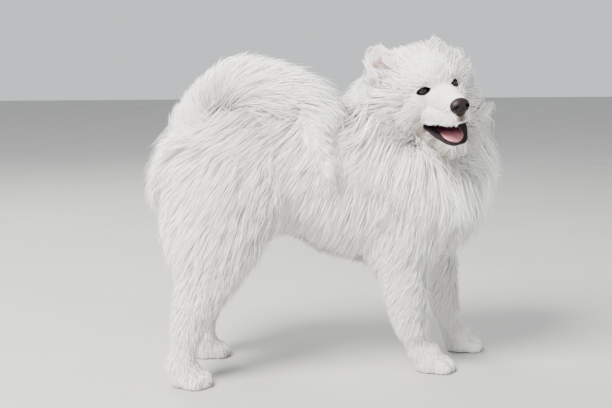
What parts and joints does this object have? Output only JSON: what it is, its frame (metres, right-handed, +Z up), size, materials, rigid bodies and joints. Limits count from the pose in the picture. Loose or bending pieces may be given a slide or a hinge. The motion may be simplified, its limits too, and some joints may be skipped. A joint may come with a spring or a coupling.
{
  "type": "samoyed",
  "caption": "Life-size still model of a thick-coated white samoyed standing on four paws, head turned to its right, mouth open, tail curled over its back.",
  "frame": {"origin": "on the floor at z = 0, under the middle of the animal's bounding box", "axes": "+X towards the dog's chest, +Y to its left, +Z up"},
  "size_m": [0.7822, 0.4208, 0.7284],
  "materials": {
    "coat": "matte white hair",
    "eye": "wet dark brown glass eye",
    "nose": "damp pebbled skin",
    "tongue": "wet satin"
  },
  "bodies": {
    "root": {"torso": "coat", "neck": "coat", "head": "coat", "jaw": "coat", "ear_left": "coat", "ear_right": "coat", "eye_left": "eye", "eye_right": "eye", "nose": "nose", "tongue": "tongue", "tail_base": "coat", "tail_plume": "coat", "foreleg_left": "coat", "foreleg_right": "coat", "forepaw_left": "coat", "forepaw_right": "coat", "thigh_left": "coat", "thigh_right": "coat", "hindleg_left": "coat", "hindleg_right": "coat", "hindpaw_left": "coat", "hindpaw_right": "coat"}
  },
  "joints": []
}
